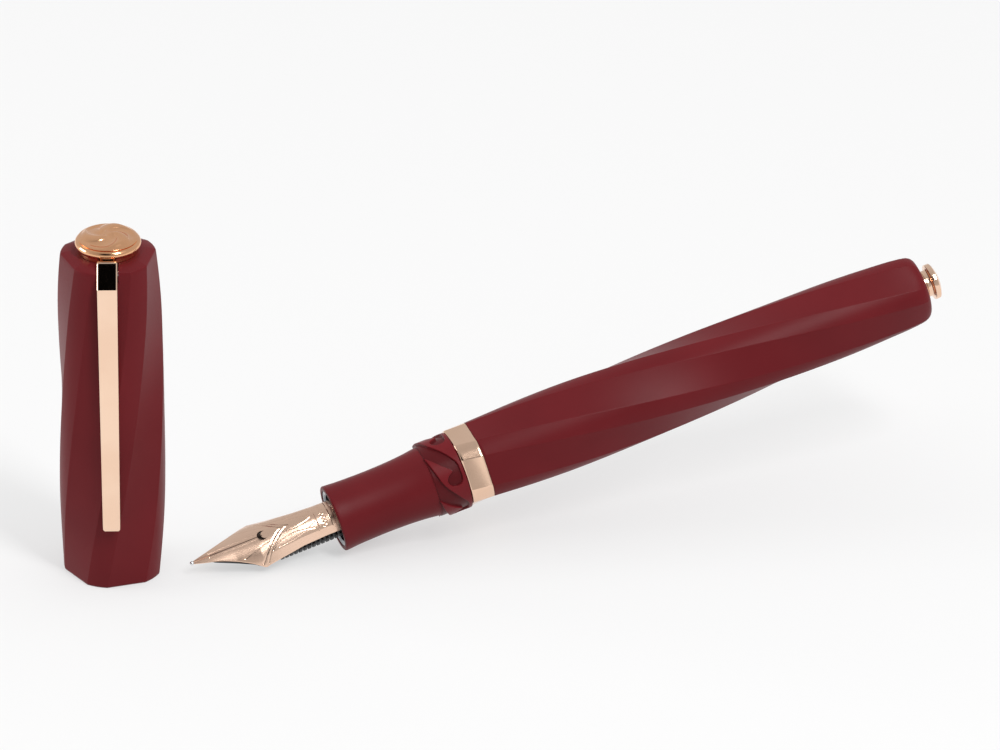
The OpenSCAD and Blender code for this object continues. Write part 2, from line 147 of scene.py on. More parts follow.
def finish_mesh(obj, sharp_deg=35.0):
    """Drops doubled points, turns faces outwards and marks the sharp edges."""
    bm = bmesh.new()
    bm.from_mesh(obj.data)
    bmesh.ops.remove_doubles(bm, verts=bm.verts, dist=2e-7)
    bmesh.ops.recalc_face_normals(bm, faces=bm.faces)
    limit = math.radians(sharp_deg)
    for face in bm.faces:
        face.smooth = True
    for edge in bm.edges:
        if len(edge.link_faces) == 2 and edge.calc_face_angle(0.0) > limit:
            edge.smooth = False
    bm.to_mesh(obj.data)
    bm.free()


def ring_faces(rings, count, closed_stack):
    """Quads between stacked rings of count points; the last ring joins the first if closed."""
    faces = []
    last = rings if closed_stack else rings - 1
    for i in range(last):
        k = (i + 1) % rings
        for j in range(count):
            m = (j + 1) % count
            faces.append((i * count + j, i * count + m, k * count + m, k * count + j))
    return faces


def stack(name, rings, placement, material, closed_stack=True, caps=False, sharp_deg=35.0):
    """Surface through rings of points that all have one length."""
    rings = [np.asarray(ring, dtype=float) for ring in rings]
    count = len(rings[0])
    faces = ring_faces(len(rings), count, closed_stack)
    if caps:
        faces.append(tuple(range(count)))
        faces.append(tuple((len(rings) - 1) * count + j for j in reversed(range(count))))
    return new_mesh(name, np.concatenate(rings), faces, placement, material, sharp_deg)


def circle(radius, z, count):
    turn = np.arange(count) * 2 * math.pi / count
    return np.stack([radius * np.cos(turn), radius * np.sin(turn), np.full(count, float(z))], 1)


def lathe(name, profile, placement, material, count=128, sharp_deg=30.0):
    """Closed turned solid. The profile is a closed outline of (radius, z)."""
    return stack(name, [circle(r, z, count) for r, z in profile], placement, material, True, False,
                 sharp_deg)


def arc(cx, cz, radius, start, end, steps):
    """Points of an arc in the (radius, z) plane, angles in degrees from the radius axis."""
    turn = np.radians(np.linspace(start, end, steps))
    return [(cx + radius * math.cos(t), cz + radius * math.sin(t)) for t in turn]


def smooth_table(table, step):
    """Points along a smooth curve through a table of (z, value), by cubic Hermite pieces."""
    z = np.array([row[0] for row in table], dtype=float)
    v = np.array([row[1] for row in table], dtype=float)
    slope = np.gradient(v, z)
    out = []
    for i in range(len(z) - 1):
        span = z[i + 1] - z[i]
        count = max(2, int(math.ceil(span / step)))
        for k in range(count):
            t = k / count
            h00, h10 = 2 * t**3 - 3 * t**2 + 1, t**3 - 2 * t**2 + t
            h01, h11 = -2 * t**3 + 3 * t**2, t**3 - t**2
            value = h00 * v[i] + h10 * span * slope[i] + h01 * v[i + 1] + h11 * span * slope[i + 1]
            out.append((z[i] + t * span, float(value)))
    out.append((float(z[-1]), float(v[-1])))
    return out


def sector_angles():
    """Angles of the points of one sector, close together where a flat meets an arc."""
    inner = [-FLAT_HALF + 1.6, -17.5, -11.5, -5.8, 0.0, 5.8, 11.5, 17.5, FLAT_HALF - 1.6]
    edge = [-0.8, -0.3, 0.3, 0.8, 1.8]
    outer = [FLAT_HALF + step for step in edge]
    rest = [SECTOR / 2 - 6.5, SECTOR / 2 - 3.2, SECTOR / 2, SECTOR / 2 + 3.2, SECTOR / 2 + 6.5]
    return inner + outer + rest + [SECTOR - value for value in reversed(outer)]


def flat_radius(radius, angle, soft=0.02):
    """Radius of the five-flat outline at an angle, with the flat's edges eased by soft mm."""
    near = (angle + SECTOR / 2) % SECTOR - SECTOR / 2
    chord = radius * math.cos(math.radians(FLAT_HALF)) / math.cos(math.radians(near))
    gap = max(soft - abs(chord - radius), 0.0) / soft
    return min(chord, radius) - gap * gap * soft / 4


def flat_ring(radius, turn, z, depth=1.0):
    """Outline ring: depth 1 is the full set of flats, 0 is a circle."""
    out = []
    for k in range(FLATS):
        for angle in sector_angles():
            r = depth * flat_radius(radius, angle) + (1 - depth) * radius
            way = math.radians(turn + k * SECTOR + angle)
            out.append((r * math.cos(way), r * math.sin(way), z))
    return np.array(out)


def cut(obj, cutter):
    """Takes cutter out of obj for good."""
    modifier = obj.modifiers.new("cut", "BOOLEAN")
    modifier.operation = "DIFFERENCE"
    modifier.solver = "EXACT"
    modifier.object = cutter
    bpy.context.view_layer.update()
    depsgraph = bpy.context.evaluated_depsgraph_get()
    mesh = bpy.data.meshes.new_from_object(obj.evaluated_get(depsgraph))
    obj.modifiers.remove(modifier)
    old = obj.data
    name = old.name
    obj.data = mesh
    bpy.data.meshes.remove(old)
    mesh.name = name
    bpy.data.objects.remove(cutter, do_unlink=True)


def prism(name, outline, low, high, placement, material):
    """Straight prism over a closed (x, y) outline from z low to z high."""
    rings = [[(x, y, low) for x, y in outline], [(x, y, high) for x, y in outline]]
    return stack(name, rings, placement, material, False, True)


def settle(obj, body, slot, *nodes):
    """The piece rides on a body and stands for CAD nodes, which it hides; slot is not used."""
    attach(obj, body)
    if nodes:
        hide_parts(*nodes)
    return obj


# ---------------------------------------------------------------- materials
def material_base(name):
    material = bpy.data.materials.new(name)
    material.use_nodes = True
    nodes = material.node_tree.nodes
    nodes.clear()
    output = nodes.new("ShaderNodeOutputMaterial")
    shader = nodes.new("ShaderNodeBsdfPrincipled")
    material.node_tree.links.new(shader.outputs["BSDF"], output.inputs["Surface"])
    return material, nodes, material.node_tree.links, shader


def noise(nodes, links, coords, scale, detail, rough=0.5):
    node = nodes.new("ShaderNodeTexNoise")
    node.inputs["Scale"].default_value = scale
    node.inputs["Detail"].default_value = detail
    node.inputs["Roughness"].default_value = rough
    links.new(coords, node.inputs["Vector"])
    return node.outputs["Fac"]


def ramp(nodes, links, fac, stops):
    node = nodes.new("ShaderNodeValToRGB")
    elements = node.color_ramp.elements
    while len(elements) < len(stops):
        elements.new(0.5)
    for element, (position, colour) in zip(elements, stops):
        element.position = position
        element.color = (*colour, 1)
    links.new(fac, node.inputs["Fac"])
    return node.outputs["Color"]


def spread(nodes, links, fac, low, high):
    node = nodes.new("ShaderNodeMapRange")
    node.inputs["To Min"].default_value = low
    node.inputs["To Max"].default_value = high
    links.new(fac, node.inputs["Value"])
    return node.outputs["Result"]


def bump(nodes, links, shader, height, distance, strength=1.0, normal=None):
    node = nodes.new("ShaderNodeBump")
    node.inputs["Strength"].default_value = strength
    node.inputs["Distance"].default_value = distance
    links.new(height, node.inputs["Height"])
    if normal is not None:
        links.new(normal, node.inputs["Normal"])
    links.new(node.outputs["Normal"], shader.inputs["Normal"])
    return node.outputs["Normal"]


def object_coords(nodes, links, stretch=(1, 1, 1), turn=(0, 0, 0)):
    coords = nodes.new("ShaderNodeTexCoord")
    mapping = nodes.new("ShaderNodeMapping")
    mapping.inputs["Scale"].default_value = stretch
    mapping.inputs["Rotation"].default_value = turn
    links.new(coords.outputs["Object"], mapping.inputs["Vector"])
    return mapping.outputs["Vector"]


def axis_distance(nodes, links, coords, placement):
    """Distance of a point from a frame's Z axis, in metres."""
    offset = nodes.new("ShaderNodeVectorMath")
    offset.operation = "SUBTRACT"
    offset.inputs[1].default_value = placement[:3, 3]
    links.new(coords, offset.inputs[0])
    across = nodes.new("ShaderNodeVectorMath")
    across.operation = "CROSS_PRODUCT"
    across.inputs[1].default_value = unit(placement[:3, 2])
    links.new(offset.outputs["Vector"], across.inputs[0])
    length = nodes.new("ShaderNodeVectorMath")
    length.operation = "LENGTH"
    links.new(across.outputs["Vector"], length.inputs[0])
    return length.outputs["Value"]


def painted_recess_shade(nodes, links, coords, colour, placement, low, high):
    """Painted shade: darkens a colour where the surface lies below the radius high, fully at low."""
    depth = nodes.new("ShaderNodeMapRange")
    depth.inputs["From Min"].default_value = low * MM
    depth.inputs["From Max"].default_value = high * MM
    depth.inputs["To Min"].default_value = 0.58
    links.new(axis_distance(nodes, links, coords, placement), depth.inputs["Value"])
    tone = nodes.new("ShaderNodeVectorMath")
    tone.operation = "SCALE"
    links.new(colour, tone.inputs[0])
    links.new(depth.outputs["Result"], tone.inputs["Scale"])
    return tone.outputs["Vector"]


def resin(name, dark, light, rough=(0.36, 0.45), recess_shade=None):
    """Matte burgundy resin: fine moulded grain, faint cloud and dust-fine roughness changes, and painted shade
    darkening its recesses when asked.
    """
    material, nodes, links, shader = material_base(name)
    coords = object_coords(nodes, links)
    cloud = noise(nodes, links, coords, 60, 4, 0.55)
    colour = ramp(nodes, links, cloud, [(0.3, dark), (0.7, light)])
    if recess_shade:
        colour = painted_recess_shade(nodes, links, coords, colour, *recess_shade)
    links.new(colour, shader.inputs["Base Color"])
    fine = noise(nodes, links, coords, 2600, 3, 0.6)
    links.new(spread(nodes, links, fine, *rough), shader.inputs["Roughness"])
    grain = noise(nodes, links, coords, 5200, 2, 0.5)
    bump(nodes, links, shader, grain, 0.0000055, 0.7)
    shader.inputs["Specular IOR Level"].default_value = 0.12
    shader.inputs["IOR"].default_value = 1.5
    return material


def metal(name, dark, light, rough=(0.10, 0.18), brush=(1, 1, 1), turn=(0, 0, 0), depth=0.0000012,
          scale=900):
    """Plated or turned metal: slight tone changes, fine lines along the brush direction."""
    material, nodes, links, shader = material_base(name)
    plain = object_coords(nodes, links)
    lines = object_coords(nodes, links, brush, turn)
    tone = noise(nodes, links, plain, 120, 3, 0.5)
    links.new(ramp(nodes, links, tone, [(0.35, dark), (0.65, light)]), shader.inputs["Base Color"])
    streak = noise(nodes, links, lines, scale, 3, 0.6)
    links.new(spread(nodes, links, streak, *rough), shader.inputs["Roughness"])
    bump(nodes, links, shader, streak, depth, 0.6)
    shader.inputs["Metallic"].default_value = 1.0
    return material


def plastic(name, dark, light, rough, scale=1500, depth=0.000004):
    material, nodes, links, shader = material_base(name)
    coords = object_coords(nodes, links)
    tone = noise(nodes, links, coords, 200, 3, 0.5)
    links.new(ramp(nodes, links, tone, [(0.3, dark), (0.7, light)]), shader.inputs["Base Color"])
    fine = noise(nodes, links, coords, scale, 3, 0.6)
    links.new(spread(nodes, links, fine, *rough), shader.inputs["Roughness"])
    bump(nodes, links, shader, fine, depth, 0.6)
    return material


def clear_plastic(name):
    material, nodes, links, shader = material_base(name)
    coords = object_coords(nodes, links)
    fine = noise(nodes, links, coords, 400, 2, 0.5)
    links.new(ramp(nodes, links, fine, [(0.3, (0.90, 0.93, 0.95)), (0.7, (0.95, 0.97, 0.98))]),
              shader.inputs["Base Color"])
    links.new(spread(nodes, links, fine, 0.03, 0.08), shader.inputs["Roughness"])
    bump(nodes, links, shader, fine, 0.000002, 0.3)
    shader.inputs["Transmission Weight"].default_value = 0.92
    shader.inputs["IOR"].default_value = 1.49
    return material


PEN_TURN = tuple(Matrix((PEN[:3, :3] / MM).T.tolist()).to_euler())

M = {
    "resin": resin("burgundy_resin", (0.112, 0.0075, 0.0105), (0.134, 0.0095, 0.0130)),
    # The lock ring's resin carries painted shade: darker down in its locking channels than on the raised hooks.
    "resin_gloss": resin("burgundy_resin_recess_shaded", (0.130, 0.0090, 0.0125), (0.155, 0.0110, 0.0150),
                         (0.28, 0.36), (PEN, CHANNEL_R + 0.06, LOCK_R - 0.08)),
    "rose_gold": metal("rose_gold_plate", (0.86, 0.585, 0.425), (0.92, 0.64, 0.475), (0.10, 0.17)),
    "bezel_gold": metal("rose_gold_rim", (0.83, 0.44, 0.235), (0.90, 0.50, 0.285), (0.12, 0.18)),
    "clip_gold": metal("rose_gold_brushed", (0.91, 0.64, 0.475), (0.95, 0.69, 0.52), (0.06, 0.10),
                       (1, 1, 0.04), depth=0.0000018),
    "nib_gold": metal("nib_gold_plate", (0.84, 0.575, 0.43), (0.90, 0.635, 0.485), (0.20, 0.30),
                      (1, 1, 0.05), PEN_TURN, 0.0000015),
    "steel": metal("polished_steel", (0.66, 0.67, 0.69), (0.76, 0.77, 0.79), (0.08, 0.16)),
    "bush_steel": metal("mouth_bush_steel", (0.20, 0.21, 0.23), (0.30, 0.31, 0.33), (0.12, 0.2)),
    "spring_steel": metal("spring_wire", (0.42, 0.43, 0.45), (0.55, 0.56, 0.58), (0.25, 0.4)),
    "brass": metal("turned_brass", (0.62, 0.44, 0.18), (0.74, 0.55, 0.26), (0.18, 0.3),
                   (0.1, 0.1, 1)),
    "magnet": metal("plated_magnet", (0.33, 0.33, 0.35), (0.45, 0.45, 0.47), (0.2, 0.32)),
    "feed_black": plastic("feed_black", (0.010, 0.010, 0.012), (0.018, 0.018, 0.021), (0.38, 0.5)),
    "cup_black": plastic("cup_black", (0.018, 0.018, 0.02), (0.03, 0.03, 0.032), (0.3, 0.42)),
    "rubber": plastic("rubber", (0.014, 0.014, 0.014), (0.024, 0.024, 0.024), (0.6, 0.75), 900,
                      0.000008),
    "clear": clear_plastic("clear_tube"),
}
for entry in frame["record"]["subparts"]:
    node = frame["nodes"][entry["node"]]
    node.data.materials.clear()
    # The clip pin takes the dark bush steel: painted shade where its ends show in the slot gap.
    shown = "bush_steel" if entry["node"] == "clip_pin" else entry["material_slot"]
    node.data.materials.append(M[shown])


# ---------------------------------------------------------------- barrel
def barrel_turn(z):
    return BARREL_PHASE + BARREL_TWIST * (z - BARREL_Z)


def build_barrel():
    count = len(sector_angles()) * FLATS
    outer = smooth_table(BARREL_RADII, 0.45)
    rings = [circle(LINER_R + 0.02, BARREL_Z + 0.05, count), circle(LINER_R + 0.06, BARREL_Z + 0.005, count)]
    rings += [flat_ring(6.46, barrel_turn(BARREL_Z), BARREL_Z + 0.005),
              flat_ring(6.56, barrel_turn(BARREL_Z), BARREL_Z + 0.04)]
    rings += [flat_ring(r, barrel_turn(z), z) for z, r in outer]
    for step, (z, r) in enumerate(BARREL_TIP):
        rings.append(flat_ring(r, barrel_turn(z), z, 1 - 0.18 * (step + 1)))
    rings += [circle(3.4, BARREL_END, count), circle(SCREW_R + 0.1, BARREL_END, count),
              circle(SCREW_R, BARREL_END - 0.1, count), circle(SCREW_R, CAVITY_END, count),
              circle(CAVITY_R - 0.3, CAVITY_END, count), circle(CAVITY_R, CAVITY_END - 0.3, count),
              circle(CAVITY_R, LINER_END, count), circle(LINER_R, LINER_END, count)]
    obj = stack("barrel_shell", rings, PEN, M["resin"], sharp_deg=40)
    settle(obj, "barrel", "resin", "barrel")


def build_trim_ring():
    count = len(sector_angles()) * FLATS
    profile = [(6.46, TRIM_Z), (6.54, TRIM_Z + 0.03), (6.6, TRIM_Z + 0.12)]
    steps = 14
    profile += [(6.61, TRIM_Z + 0.12 + (BARREL_Z - TRIM_Z - 0.24) * k / steps) for k in range(1, steps)]
    profile += [(6.61, BARREL_Z - 0.12), (6.56, BARREL_Z - 0.03), (6.48, BARREL_Z)]
    rings = [circle(LINER_R, TRIM_Z, count)]
    rings += [flat_ring(r, barrel_turn(z), z) for r, z in profile]
    rings += [circle(LINER_R, BARREL_Z, count)]
    obj = stack("trim_band", rings, PEN, M["rose_gold"], sharp_deg=40)
    settle(obj, "barrel", "rose_gold", "trim_ring")


def build_tail():
    z = BARREL_END
    profile = [(1.0, z), (2.45, z), (2.5, z + 0.06), (2.5, z + 0.42)]
    profile += arc(2.5, z + 0.72, 0.3, -90, -180, 7)
    profile += [(2.2, z + 1.1)]
    profile += arc(2.55, z + 1.1, 0.35, 180, 90, 7)
    profile += [(2.78, z + 1.47)] + arc(2.8, z + 1.62, 0.15, -80, 0, 5)
    profile += [(2.95, z + 2.2)] + arc(2.75, z + 2.2, 0.2, 0, 60, 5)
    profile += [(2.5, z + 2.52), (2.2, z + 2.66), (1.7, z + 2.82), (1.1, z + 2.93), (0.5, z + 2.99),
                (0.02, TAIL_END)]
    profile += [(0.02, z + 2.0), (1.0, z + 2.0)]
    obj = lathe("tail_button", profile, PEN, M["rose_gold"], 96)
    settle(obj, "barrel", "rose_gold", "tail_finial")


# ---------------------------------------------------------------- grip section and lock ring
def build_grip():
    outer = [(r, z) for z, r in smooth_table(GRIP_RADII, 0.4)]
    profile = [(4.7, MOUTH_Z + 0.2), (4.74, MOUTH_Z + 0.06), (4.84, MOUTH_Z + 0.005)]
    profile += arc(5.2, MOUTH_Z + 0.3, 0.3, -80, -8, 8)
    profile += outer
    profile += [(5.1, LOCK_Z), (5.1, LOCK_END), (4.6, LOCK_END), (4.6, 38.0), (3.95, 38.0),
                (3.95, 31.0), (4.7, 31.0)]
    obj = lathe("grip_shell", profile, PEN, M["resin"], 160)
    settle(obj, "grip", "resin", "section")
    ring = [(3.97, MOUTH_Z + 0.62), (3.99, MOUTH_Z + 0.42), (4.12, MOUTH_Z + 0.24),
            (4.3, MOUTH_Z + 0.16), (4.5, MOUTH_Z + 0.13), (4.66, MOUTH_Z + 0.15), (4.69, MOUTH_Z + 0.22),
            (4.69, 31.0), (3.95, 31.0)]
    obj = lathe("mouth_bush_ring", ring, PEN, M["bush_steel"], 128)
    settle(obj, "grip", "steel", "mouth_bush")


# One locking channel, unrolled: degrees round the pen and mm behind the ring's front.
CHANNEL = [(-106, -1.0), (-106, 0.0), (-84, 0.52), (-65.4, 1.07), (-57, 1.45), (-50, 1.9), (-36, 2.98),
           (-23, 3.9), (-14, 4.45), (-8, 4.6), (10, 4.6), (16, 4.45), (20, 4.0), (21, 3.35),
           (19.5, 2.7), (16, 2.28), (11, 2.1), (7, 2.2), (3.2, 2.55), (0.6, 3.1), (-1.6, 3.42),
           (-4.2, 3.3), (-9, 2.75), (-16, 1.95), (-26, 0.95), (-34, 0.2), (-37, 0.0), (-37, -1.0)]


def outline_distance(x, y, outline):
    """Signed distance to a closed outline, positive inside."""
    best = np.full(x.shape, 1e9)
    inside = np.zeros(x.shape, dtype=bool)
    count = len(outline)
    for i in range(count):
        ax, ay = outline[i]
        bx, by = outline[(i + 1) % count]
        ex, ey = bx - ax, by - ay
        t = np.clip(((x - ax) * ex + (y - ay) * ey) / (ex * ex + ey * ey), 0, 1)
        best = np.minimum(best, np.hypot(x - ax - t * ex, y - ay - t * ey))
        crosses = (ay > y) != (by > y)
        with np.errstate(divide="ignore", invalid="ignore"):
            at = ax + (y - ay) * ex / (ey if ey else 1e-12)
        inside ^= crosses & (x < at)
    return np.where(inside, best, -best)


def ease(value):
    value = np.clip(value, 0, 1)
    return value * value * (3 - 2 * value)


def build_lock_ring():
    around, along = 1000, 100
    turn = np.arange(around) * 360.0 / around
    z = np.linspace(0, LOCK_END - LOCK_Z, along)
    turn_grid, z_grid = np.meshgrid(turn, z)
    arc_mm = math.radians(1) * LOCK_R
    depth = np.zeros(turn_grid.shape)
    local = (turn_grid - HOOK_PHASE + SECTOR / 2) % SECTOR - SECTOR / 2
    for shift in (-2, -1, 0, 1, 2):
        outline = [(angle * arc_mm, height) for angle, height in CHANNEL]
        gap = outline_distance((local + shift * SECTOR) * arc_mm, z_grid, outline)
        depth = np.maximum(depth, ease(gap / 0.11 + 0.5))
    ends = np.minimum(z_grid, (LOCK_END - LOCK_Z) - z_grid)
    bevel = 0.07 * (1 - ease(ends / 0.12))
    swell = 0.03 * (1 - depth) * ease(1 - depth)
    radius = LOCK_R - 0.03 + swell - (LOCK_R - CHANNEL_R) * depth - bevel
    way = np.radians(turn_grid)
    rings = [np.stack([radius[i] * np.cos(way[i]), radius[i] * np.sin(way[i]), z_grid[i] + LOCK_Z], 1)
             for i in range(along)]
    rings = [circle(5.1, LOCK_Z, around)] + rings + [circle(5.1, LOCK_END, around)]
    obj = stack("lock_ring_hooks", rings, PEN, M["resin_gloss"], sharp_deg=60)
    settle(obj, "grip", "resin", "lock_ring")


# ---------------------------------------------------------------- nib
NIB_END = 38.0
NIB_T = 0.35
SHOULDER_Z = 11.0
SHOULDER_W = 4.4
NIB_TOP = 3.3
NIB_R = 3.15
HOLE_Z = 12.2
NIB_HALF = [(0.0, 0.2), (0.6, 0.36), (1.5, 0.62), (3, 1.06), (5, 1.74), (7, 2.52), (9, 3.42), (10.2, 4.04),
            (10.8, 4.34), (SHOULDER_Z + 0.2, SHOULDER_W)]
NIB_BEND = [(0.0, 4.1), (7, 4.2), (SHOULDER_Z, 5.1), (14, 4.3), (18, 3.5), (22, NIB_R), (NIB_END, NIB_R)]
NIB_WRAP = [(SHOULDER_Z + 0.2, 59.6), (12, 60.5), (14, 64), (18, 70), (22, 73.5), (NIB_END, 74)]
CREASE = 0.66
CREASE_TURN = 10.0
# How much wider and deeper the engraving is cut than nib_lines lists
LINE_WIDEN = 1.35
LINE_DEEPEN = 1.5


def table_at(table, z):
    return float(np.interp(z, [row[0] for row in table], [row[1] for row in table]))


def nib_frame(z):
    bend = table_at(NIB_BEND, z)
    if z < SHOULDER_Z + 0.2:
        wrap = math.degrees(math.asin(table_at(NIB_HALF, z) / bend))
    else:
        wrap = table_at(NIB_WRAP, z)
    centre = NIB_TOP - bend
    if z > 18:
        centre += (NIB_R - NIB_TOP) * min(1.0, (z - 18) / 4)
    return bend, wrap, centre


def nib_point(z, u, drop=0.0):
    """Point of the nib's upper face at z, u from -1 to 1 across, sunk by drop."""
    bend, wrap, centre = nib_frame(z)
    fold = ease((z - SHOULDER_Z + 1.2) / 2.4)
    angle = math.radians(wrap * u)
    crease = math.radians(wrap * CREASE)
    r = bend - drop
    if abs(u) <= CREASE or fold <= 0:
        return centre + r * math.cos(angle), r * math.sin(angle)
    side = 1 if u > 0 else -1
    run = bend * (abs(angle) - crease)
    turn = crease + fold * math.radians(CREASE_TURN) + (1 - fold) * (abs(angle) - crease) / 2
    x = centre + bend * math.cos(crease) - run * math.sin(turn) - drop * math.cos(turn)
    y = bend * math.sin(crease) + run * math.cos(turn) - drop * math.sin(turn)
    return x, side * y


def line_dip(z, u, path, width, reach):
    """Depth of a cut line along a path of (z, u) points, at grid points z, u."""
    best = np.full(z.shape, 1e9)
    for (az, au), (bz, bu) in zip(path[:-1], path[1:]):
        ax, ay, bx, by = az, au * reach, bz, bu * reach
        ex, ey = bx - ax, by - ay
        t = np.clip(((z - ax) * ex + (u * reach - ay) * ey) / (ex * ex + ey * ey), 0, 1)
        best = np.minimum(best, np.hypot(z - ax - t * ex, u * reach - ay - t * ey))
    return ease(1 - best / width)


def curve(points, steps=14):
    """Smooth path through a few (z, u) points."""
    pts = [points[0]] + list(points) + [points[-1]]
    out = []
    for i in range(1, len(pts) - 2):
        p0, p1, p2, p3 = (np.array(pts[i + k], dtype=float) for k in (-1, 0, 1, 2))
        for k in range(steps):
            t = k / steps
            out.append(tuple(0.5 * (2 * p1 + (p2 - p0) * t + (2 * p0 - 5 * p1 + 4 * p2 - p3) * t**2
                                    + (3 * p1 - p0 - 3 * p2 + p3) * t**3)))
    out.append(tuple(pts[-2]))
    return out


def nib_lines():
    """Cut lines of the engraving on one side, as (path, width in mm, depth in mm)."""
    lines = []
    lines.append((curve([(3.0, 0.34), (6.5, 0.20), (10.6, 0.10), (11.6, 0.16)]), 0.09, 0.030))
    lines.append((curve([(8.2, 0.80), (9.6, 0.52), (11.2, 0.34), (12.9, 0.28)]), 0.10, 0.030))
    lines.append((curve([(10.6, 0.90), (11.6, 0.66), (12.6, 0.46), (14.6, 0.10), (15.6, 0.0)]), 0.17, 0.055))
    lines.append((curve([(11.5, 0.92), (12.4, 0.66), (13.4, 0.46), (15.4, 0.12), (16.6, 0.0)]), 0.13, 0.050))
    lines.append((curve([(12.9, 0.62), (14.2, 0.44), (17.0, 0.36), (20.6, 0.50)]), 0.09, 0.030))
    lines.append((curve([(15.4, 0.16), (17.4, 0.20), (19.4, 0.12), (20.8, 0.0)]), 0.09, 0.030))
    lines.append((curve([(14.0, 0.60), (16.6, 0.58), (19.0, 0.46), (20.8, 0.24)]), 0.08, 0.026))
    lines.append(([(21.1, 0.0), (21.1, 0.66)], 0.10, 0.040))
    lines.append(([(23.5, 0.0), (23.5, 0.66)], 0.10, 0.040))
    for k in range(4):
        u = 0.08 + 0.16 * k
        diamond = [(21.9, u), (22.3, u + 0.05), (22.7, u), (22.3, u - 0.05), (21.9, u)]
        lines.append((curve(diamond, 4), 0.07, 0.026))
    return lines


def build_nib():
    across = 150
    z_values = list(np.linspace(0.0, 1.0, 12)) + list(np.linspace(1.0, 24.6, 330)[1:])
    z_values += list(np.linspace(24.6, NIB_END, 14)[1:])
    z_values = np.array(z_values)
    u_values = np.linspace(-1, 1, across)
    z_grid, u_grid = np.meshgrid(z_values, u_values, indexing="ij")
    reach = np.array([nib_frame(z)[0] * math.radians(nib_frame(z)[1]) for z in z_values])[:, None]
    dip = np.zeros(z_grid.shape)
    for path, width, depth in nib_lines():
        cut_line = line_dip(z_grid, np.abs(u_grid), path, LINE_WIDEN * width, np.maximum(reach, 0.3))
        dip = np.maximum(dip, LINE_DEEPEN * depth * cut_line)
    edge = (1 - np.abs(u_grid)) * reach
    dip += 0.06 * (1 - ease(edge / 0.12))
    top = np.zeros(z_grid.shape + (3,))
    under = np.zeros(z_grid.shape + (3,))
    for i, z in enumerate(z_values):
        thick = NIB_T * min(1.0, 0.55 + z / 4)
        for j, u in enumerate(u_values):
            x, y = nib_point(z, u, dip[i, j])
            top[i, j] = (x, y, z)
            x, y = nib_point(z, u * 0.995, thick)
            under[i, j] = (x, y, z)
    rings = [np.concatenate([top[i], under[i][::-1]]) for i in range(len(z_values))]
    obj = stack("nib_sheet", rings, PEN, M["nib_gold"], False, True, sharp_deg=50)
    half = 0.06
    slit = prism("slit_cutter", [(1.5, -half), (4.2, -half), (4.2, half), (1.5, half)], -0.5, HOLE_Z,
                 PEN, M["nib_gold"])
    cut(obj, slit)
    outer_r, inner_r, shift = 0.88, 0.72, 0.50
    outer = [(HOLE_Z - outer_r * math.cos(t), outer_r * math.sin(t))
             for t in np.radians(np.linspace(-112, 112, 22))]
    inner = [(HOLE_Z + shift - inner_r * math.cos(t), inner_r * math.sin(t))
             for t in np.radians(np.linspace(98, -98, 18))]
    outline = outer + inner
    rings = [[(x, y, z) for z, y in outline] for x in (1.5, 4.2)]
    crescent = stack("hole_cutter", rings, PEN, M["nib_gold"], False, True)
    cut(obj, crescent)
    finish_mesh(obj, 50)
    settle(obj, "grip", "nib_gold", "nib")


def build_feed_lip():
    """Front of the feed, showing as a dark edge below the nib's wings."""
    start, end = 3.2, 11.0
    rings = []
    for z in np.linspace(start, end, 60):
        swell = math.sin(math.pi * (z - start) / (end - start)) ** 0.7
        bend, wrap = nib_frame(z)[:2]
        edge = 0.97 + 0.42 * swell / (bend * math.radians(wrap))
        u_values = np.linspace(-edge, edge, 61)
        upper = [(*nib_point(z, u, NIB_T + 0.01), z) for u in u_values]
        lower = [(*nib_point(z, u, NIB_T + 0.06 + 0.2 * swell), z) for u in reversed(u_values)]
        rings.append(upper + lower)
    obj = stack("feed_lip", rings, PEN, M["feed_black"], False, True, sharp_deg=50)
    settle(obj, "grip", "feed_black")


# ---------------------------------------------------------------- cap
def cap_turn(z):
    return CAP_PHASE + CAP_TWIST * z + CAP_TWIST_FADE * z * (CAP_H - z)


def build_cap():
    count = len(sector_angles()) * FLATS
    rings = [circle(CAP_MOUTH_R, 0.3, count), circle(CAP_MOUTH_R + 0.08, 0.08, count),
             circle(CAP_MOUTH_R + 0.2, 0.0, count),
             flat_ring(7.72, cap_turn(0), 0.0), flat_ring(7.88, cap_turn(0.1), 0.08),
             flat_ring(7.98, cap_turn(0.25), 0.25)]
    rings += [flat_ring(r, cap_turn(z), z) for z, r in smooth_table(CAP_RADII, 0.4)]
    rings += [flat_ring(r, cap_turn(z), z, depth) for z, r, depth in CAP_TIP]
    rings += [circle(5.2, CAP_H, count), circle(SCREW_R, CAP_H, count),
              circle(SCREW_R, CEILING_Z, count), circle(CAP_BORE_R, CEILING_Z, count),
              circle(CAP_BORE_R, 6.6, count), circle(CAP_MOUTH_R, 6.5, count)]
    obj = stack("cap_body", rings, CAP, M["resin"], sharp_deg=40)
    half = CLIP_W / 2 + 0.15
    slot = prism("slot_cutter", [(2.5, -half), (10.5, -half), (10.5, half), (2.5, half)], 54.3, 58.0,
                 CAP, M["resin"])
    cut(obj, slot)
    finish_mesh(obj, 40)
    settle(obj, "cap", "resin", "cap_shell")


BEZEL_R = 5.25
BEAD_Z = 58.0
BEAD_R = 0.74
NECK_W = 1.5


